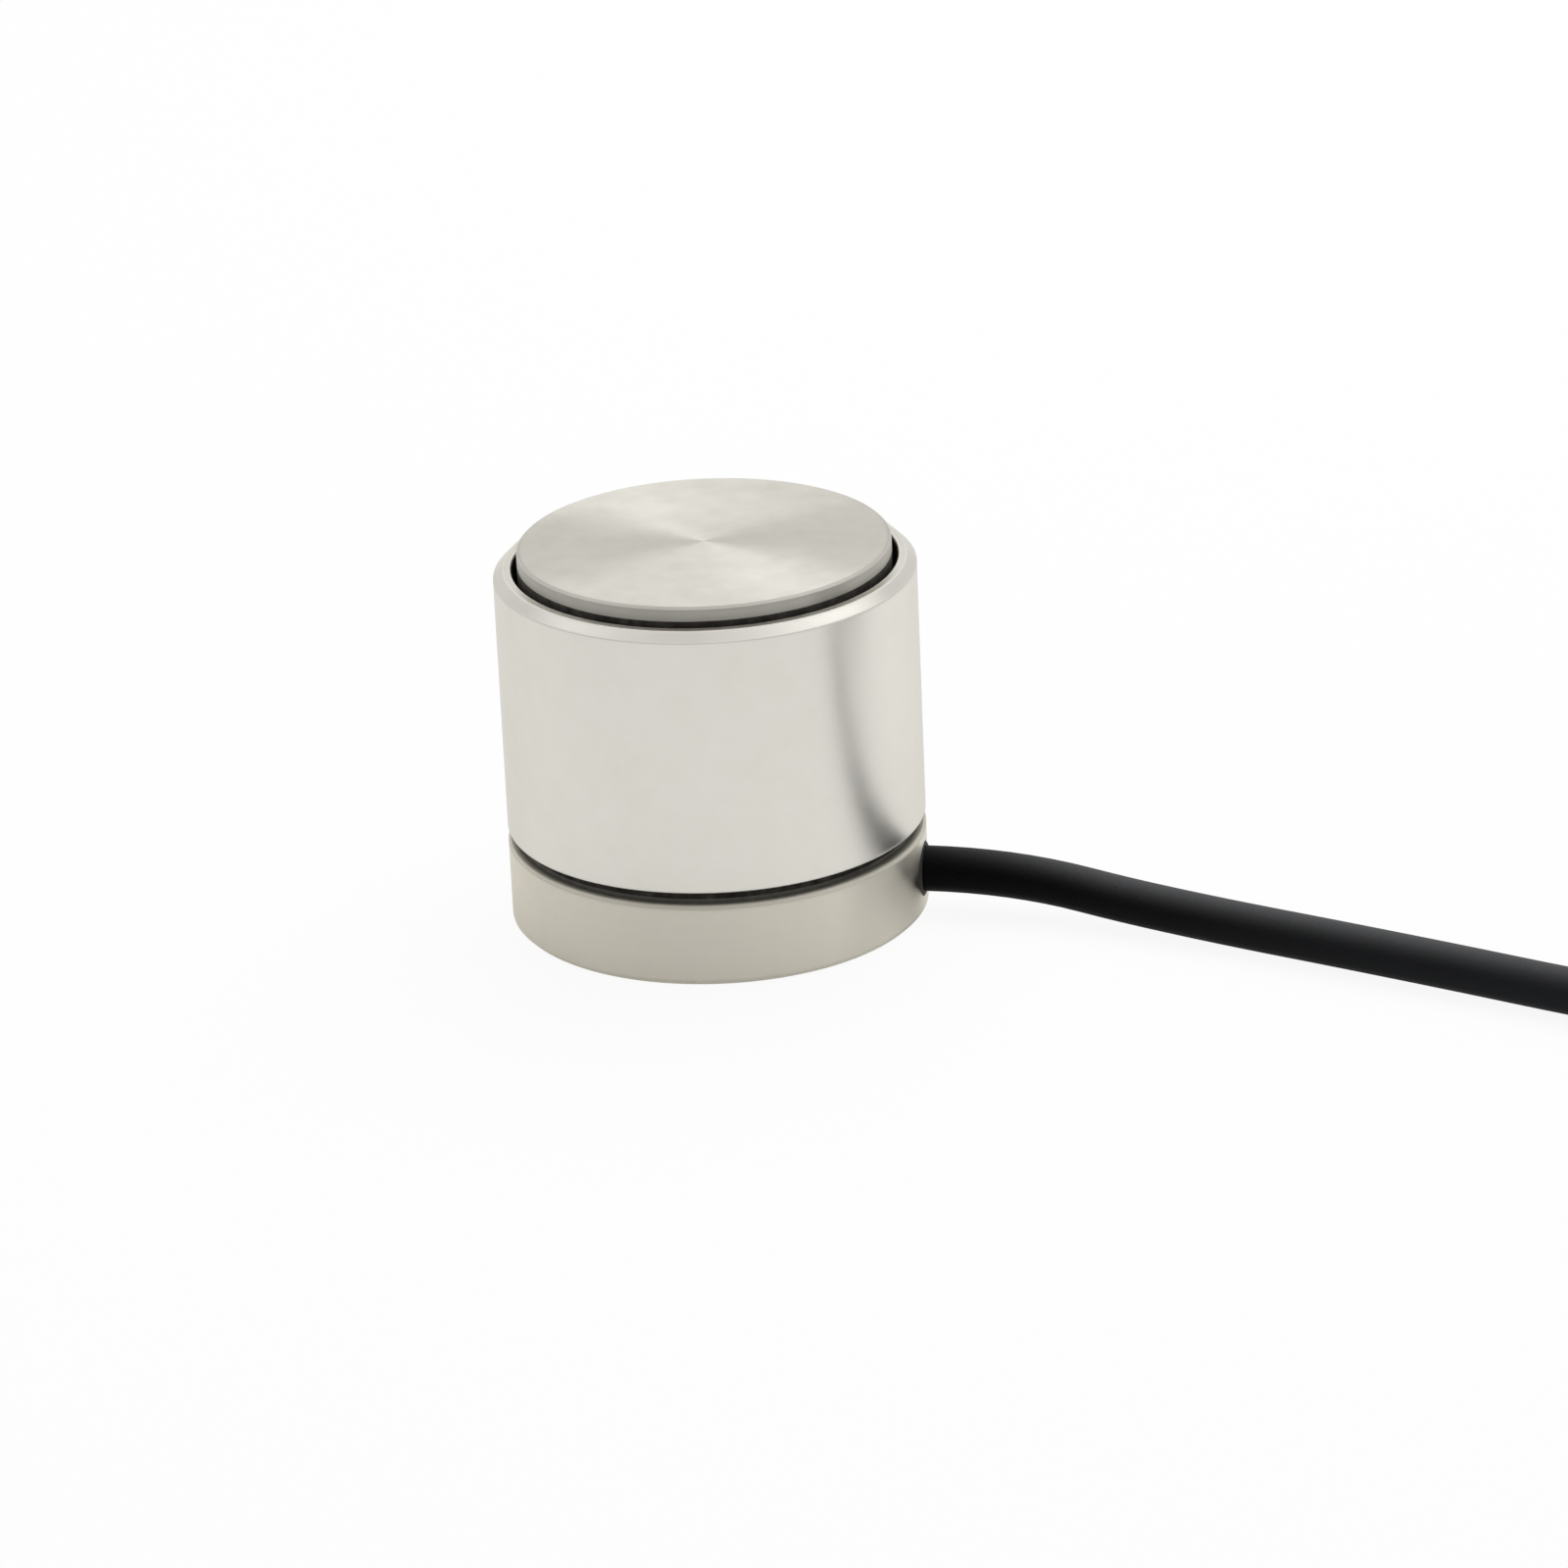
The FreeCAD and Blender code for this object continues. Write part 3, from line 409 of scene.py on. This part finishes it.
# Cores: four insulated cores and a bare tinned drain wire go from the jacket up the wire passage
# to the board, and come out again at the cable's far end. Cast resin holds them in the passage.
CORE_COLOURS = {
    "red": ((0.52, 0.018, 0.018, 1.0), (0.40, 0.012, 0.014, 1.0)),
    "white": ((0.80, 0.79, 0.76, 1.0), (0.70, 0.69, 0.65, 1.0)),
    "green": ((0.018, 0.27, 0.07, 1.0), (0.012, 0.19, 0.05, 1.0)),
    "black": ((0.014, 0.014, 0.015, 1.0), (0.024, 0.024, 0.025, 1.0)),
}
RESIN = (0.030, 0.029, 0.027, 1.0)
RESIN_PALE = (0.055, 0.052, 0.046, 1.0)

for core, (colour, shade) in CORE_COLOURS.items():
    insulation = soft_plastic(f"{core}_insulation", colour, shade, 0.38, 5.0)
    dress(insulation, f"core_{core}", f"end_core_{core}")
dress(
    drawn_metal("tinned_strand", TIN, TIN_DULL, 0.36, 9.0),
    "core_drain", "end_drain", "end_core_tips")


def cast_resin(name):
    """Poured resin: glossy, with small blisters."""
    finish, start, place = new_finish(name)
    blister = start.node(
        "ShaderNodeTexVoronoi", None, {"Vector": place, "Scale": 1.6}, out="Distance")
    pit = 1.0 - blister.rise(0.08, 0.20)
    cloud = noise(start, place, 0.6, 3.0)
    close_finish(
        start, Base_Color=blend_colours(start, cloud, RESIN, RESIN_PALE),
        Roughness=0.22 + cloud * 0.12 + pit * 0.2, Normal=bumps(start, 1.0 - pit, 0.4, 0.0001))
    return finish


dress(cast_resin("cast_resin"), "potting_plug")

# Seals: a rubber ring under the load head keeps dirt out of the sleeve, and a thinner one sits in
# the groove of the sleeve's seat.
dress(SEAL_RUBBER, "head_seal_ring", "sleeve_o_ring")

# Outer sleeve: a tube of the same stainless steel, pressed over the spigot onto its seat and
# ground smooth. Its lip is chamfered, and the edge of its foot is broken.
TUBE_COLOUR = (0.834, 0.811, 0.755, 1.0)
TUBE_SHADE = (0.774, 0.750, 0.690, 1.0)
FOOT_EDGE = 0.1
LIP_CHAMFER = 1.0
LIP_FLAT = 0.85
SLEEVE_EDGES = (
    (BODY_R, SEAT_UP + FOOT_EDGE), (BODY_R, LIP_UP - LIP_CHAMFER),
    (BODY_R - LIP_CHAMFER, LIP_UP), (BODY_R - LIP_CHAMFER - LIP_FLAT, LIP_UP))
# Painted shade: the sleeve's foot face and its bore are darkened where shade falls on them.
SLEEVE_FOOT = (BODY_R - 0.5, BODY_R - 0.1, SEAT_UP - 0.5, SEAT_UP + 0.01, 0.9)
SLEEVE_BORE = (BODY_R - 1.98, BODY_R - 1.90, SEAT_UP + 2.0, LIP_UP - 0.10, 0.9)
GROUND_ROUGHNESS = 0.30
GROUND_BITE = 0.06
GROUND_DRAW = 0.1

dress(
    turned_steel(
        "sleeve_steel", (TUBE_SHADE, TUBE_COLOUR), SLEEVE_EDGES, (SLEEVE_FOOT, SLEEVE_BORE),
        GROUND_ROUGHNESS, GROUND_BITE, GROUND_DRAW),
    "outer_sleeve")

# Cable: four screened cores in a matt black jacket, 5 mm thick and 3 m long. It leaves the
# grommet, comes down to the floor and goes on to a tied coil, where the length that isn't laid
# out is kept.
CABLE_DIA = 0.005
FLOOR_UP = 0.0026
CABLE_RUN = (
    (0.0226, 0.0, 0.0046),
    (0.032, 0.0, 0.0046),
    (0.0485, -0.0046, FLOOR_UP),
    (0.076, -0.0152, FLOOR_UP),
    (0.099, -0.0249, FLOOR_UP),
    (0.122, -0.0314, FLOOR_UP),
    (0.143, -0.0348, FLOOR_UP),
)
COIL_MIDDLE = (0.168, -0.0075)
COIL_RADIUS = 0.025
TURNS_WIDE = 3
TURNS = 18
POINTS_A_TURN = 16
COIL_START = math.radians(-108)
CHANGE_POINTS = 7
CHANGE_ASIDE = 0.0008
CABLE_TAIL = (
    (0.15867, -0.03622, 0.0326),
    (0.17028, -0.03651, 0.0327),
    (0.18085, -0.03272, 0.0328),
    (0.18953, -0.02556, 0.0328),
    (0.194226, -0.015773, 0.0328),
    (0.196060, -0.009955, 0.0328),
)
# Painted shade and sheen on the jacket: lighter away from the body, and lighter on its upper side.
JACKET = (0.0010, 0.0010, 0.0010, 1.0)
JACKET_OUT_OF_SHADE = (0.0130, 0.0137, 0.0152, 1.0)
JACKET_SHEEN = (0.0700, 0.0708, 0.0735, 1.0)
SHADE_FADE_REACH = (25.0, 95.0)
SHEEN_REACH = (20.0, 45.0)
SHEEN_FALL = 3.2
JACKET_ROUGHNESS = 0.46
JACKET_SHINE = 0.05


def coil_slot(turn):
    """The radius and height that a turn lies at: across one layer and back over the next."""
    layer, step = divmod(turn, TURNS_WIDE)
    column = step if layer % 2 == 0 else TURNS_WIDE - 1 - step
    radius = COIL_RADIUS + ((TURNS_WIDE - 1) / 2 - column) * CABLE_DIA
    return radius, FLOOR_UP + layer * CABLE_DIA


def coil_point(angle, radius, up):
    spread = radius / math.cos(math.pi / POINTS_A_TURN)
    return (
        COIL_MIDDLE[0] + spread * math.cos(angle), COIL_MIDDLE[1] + spread * math.sin(angle), up)


cable_points = list(CABLE_RUN)
for turn in range(TURNS):
    radius, up = coil_slot(turn)
    next_radius, next_up = coil_slot(turn + 1)
    for step in range(POINTS_A_TURN):
        angle = COIL_START + 2 * math.pi * (turn + step / POINTS_A_TURN)
        share = max(0, step - POINTS_A_TURN + CHANGE_POINTS + 1) / (CHANGE_POINTS + 1)
        moved = share * share * (3.0 - 2.0 * share)
        aside = 0.0
        if next_up > up:
            aside = math.sin(math.pi * share) * CHANGE_ASIDE * (1 if radius > COIL_RADIUS else -1)
        cable_points.append(coil_point(
            angle, radius + (next_radius - radius) * moved + aside, up + (next_up - up) * moved))
cable_points += CABLE_TAIL

cable_line = bpy.data.curves.new("signal_cable", "CURVE")
cable_line.dimensions = "3D"
cable_line.bevel_depth = CABLE_DIA / 2
cable_line.bevel_resolution = 5
cable_line.resolution_u = 8
cable_line.use_fill_caps = True
spline = cable_line.splines.new("NURBS")
spline.points.add(len(cable_points) - 1)
for point, place in zip(spline.points, cable_points):
    point.co = (*place, 1.0)
spline.order_u = 3
spline.use_endpoint_u = True
cable = bpy.data.objects.new("signal_cable", cable_line)
bpy.context.scene.collection.objects.link(cable)


def matt_jacket(name):
    """Extruded black plastic, with painted shade by the grommet and a painted sheen on top."""
    finish, start, place = new_finish(name)
    across, along, up = axes_of(start, place)
    fine = noise(start, place, 3.0, 4.0)
    broad = noise(start, place, 0.15, 2.0)
    facing = start.node("ShaderNodeTexCoord", out="Normal")
    facing_up = axes_of(start, facing)[2]
    # Painted shade: darkest by the grommet, lifting farther out along the cable.
    shade_fade = across.rise(*SHADE_FADE_REACH)
    # Painted sheen: the upper side is lighter, more so away from the body.
    sheen_spread = 0.12 + across.rise(*SHEEN_REACH) * 0.88
    painted_sheen = facing_up.clamped() ** SHEEN_FALL * sheen_spread * (0.7 + fine * 0.6)
    out_of_shade = (shade_fade * (0.7 + broad * 0.6)).clamped()
    jacket = blend_colours(start, out_of_shade, JACKET, JACKET_OUT_OF_SHADE)
    close_finish(
        start, Base_Color=blend_colours(start, painted_sheen.clamped(), jacket, JACKET_SHEEN),
        Roughness=JACKET_ROUGHNESS + (fine - 0.5) * 0.16 + (broad - 0.5) * 0.1,
        Specular_IOR_Level=JACKET_SHINE, Normal=bumps(start, fine, 0.2, 0.00005))
    return finish


JACKET_BLACK = matt_jacket("jacket_black")
cable_line.materials.append(JACKET_BLACK)
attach(cable, "root")
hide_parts("cable_run", "cable_coil", "cable_end")
dress(JACKET_BLACK, "cable_tail")

# Coil tie: a strap of black nylon, closed round the coil's turns and locked on top of them, so
# that the spare length stays wound.
NYLON = (0.013, 0.013, 0.014, 1.0)
NYLON_PALE = (0.024, 0.024, 0.025, 1.0)

dress(soft_plastic("tie_nylon", NYLON, NYLON_PALE, 0.42, 2.0), "coil_tie")

# Stage: a pale floor that keeps some of the object's shadow, white surroundings, and a broad lamp
# above and behind. The steel mirrors a dim room with a paler backdrop, a bright screen overhead in
# place of the lamp, and a floor that is whiter from the cable backwards.
FLOOR_HALF = 3.0
FLOOR_GAP = 0.00005
FLOOR_COLOUR = (0.93, 0.93, 0.925, 1.0)
FLOOR_WHITE = 0.91
FLOOR_SLANT = 0.5
FLOOR_MIRRORED = 0.15
FLOOR_STRIP = 0.40
FLOOR_GLARE = 0.40
MIRRORED_EDGE = (-0.07, -0.035)
STRIP_EDGE = (-0.012, 0.015)
GLARE_EDGE = (0.045, 0.085)
ROOM_COS = 0.98
ROOM_SIN = 0.2
FILL_LEVEL = 0.5
SIDE_LEVEL = 0.46
BACKDROP_LEVEL = 0.80
BACKDROP_EDGE = (0.30, 0.80)
CEILING_LEVEL = 0.62
CEILING_TILT = 0.25
CEILING_EDGE = (0.38, 0.75)
SCREEN_LEVEL = 0.72
SCREEN_EDGE = (-0.60, 0.35)
LAMP_PLACE = (0.10, 0.34, 0.84)
LAMP_SIZE = 1.0
LAMP_WATTS = 5.8

floor_mesh = bpy.data.meshes.new("floor")
build = bmesh.new()
bmesh.ops.create_grid(build, x_segments=1, y_segments=1, size=FLOOR_HALF)
bmesh.ops.translate(build, verts=build.verts, vec=(0.0, 0.0, -FLOOR_GAP))
build.to_mesh(floor_mesh)
build.free()
floor = bpy.data.objects.new("floor", floor_mesh)
bpy.context.scene.collection.objects.link(floor)
finish = bpy.data.materials.new("floor_paper")
finish.use_nodes = True
finish.node_tree.nodes.clear()
start = Wire(finish.node_tree)
paper = start.node("ShaderNodeBsdfDiffuse", None, {"Color": FLOOR_COLOUR})
white = start.node("ShaderNodeEmission", None, {"Color": (1, 1, 1, 1), "Strength": 1.0})
across, along, up = axes_of(start, start.node("ShaderNodeTexCoord", out="Object"))
behind = across * FLOOR_SLANT + along
mirrored = (
    across.rise(*MIRRORED_EDGE) * FLOOR_MIRRORED + behind.rise(*STRIP_EDGE) * FLOOR_STRIP
    + behind.rise(*GLARE_EDGE) * FLOOR_GLARE)
to_camera = start.node("ShaderNodeLightPath", out="Is Camera Ray")
share = to_camera * FLOOR_WHITE + to_camera.also("Is Glossy Ray") * mirrored
mixed = start.node("ShaderNodeMixShader", None, {0: share, 1: paper, 2: white})
start.node("ShaderNodeOutputMaterial", None, {"Surface": mixed})
floor_mesh.materials.append(finish)

world = bpy.data.worlds.new("studio")
bpy.context.scene.world = world
world.use_nodes = True
world.node_tree.nodes.clear()
start = Wire(world.node_tree)
across, along, up = axes_of(start, start.node("ShaderNodeTexCoord", out="Generated"))
back = along * ROOM_COS - across * ROOM_SIN
right = across * ROOM_COS + along * ROOM_SIN
low = SIDE_LEVEL + back.rise(*BACKDROP_EDGE) * (BACKDROP_LEVEL - SIDE_LEVEL)
high = CEILING_LEVEL + right * CEILING_TILT + back.rise(*SCREEN_EDGE) * SCREEN_LEVEL
mirrored = low + (high - low) * up.rise(*CEILING_EDGE)
to_camera = start.node("ShaderNodeLightPath", out="Is Camera Ray")
plain_white = to_camera + to_camera.also("Is Transmission Ray")
level = (
    FILL_LEVEL + plain_white * (1.0 - FILL_LEVEL)
    + to_camera.also("Is Glossy Ray") * (mirrored - FILL_LEVEL))
sky = start.node("ShaderNodeBackground", None, {"Color": (1, 1, 1, 1), "Strength": level})
start.node("ShaderNodeOutputWorld", None, {"Surface": sky})

lamp = bpy.data.lights.new("soft_lamp", "AREA")
lamp.shape = "SQUARE"
lamp.size = LAMP_SIZE
lamp.energy = LAMP_WATTS
holder = bpy.data.objects.new("soft_lamp", lamp)
bpy.context.scene.collection.objects.link(holder)
holder.visible_glossy = False
holder.location = LAMP_PLACE
holder.rotation_euler = (-Vector(LAMP_PLACE)).to_track_quat("-Z", "Y").to_euler()

# Camera: stands where the photograph was taken, with a long lens, and leans a little to one side
# as that one did.
CAMERA_PLACE = (0.13332, -0.65530, 0.28638)
CAMERA_TURN = (67.768, 2.351, 9.908)
CAMERA_LENS = 154.315
CAMERA_SENSOR = 36.0

lens = bpy.data.cameras.new("camera")
lens.lens = CAMERA_LENS
lens.sensor_width = CAMERA_SENSOR
camera = bpy.data.objects.new("camera", lens)
bpy.context.scene.collection.objects.link(camera)
camera.location = CAMERA_PLACE
camera.rotation_euler = [math.radians(angle) for angle in CAMERA_TURN]
bpy.context.scene.camera = camera
bpy.context.scene.view_settings.view_transform = "Standard"
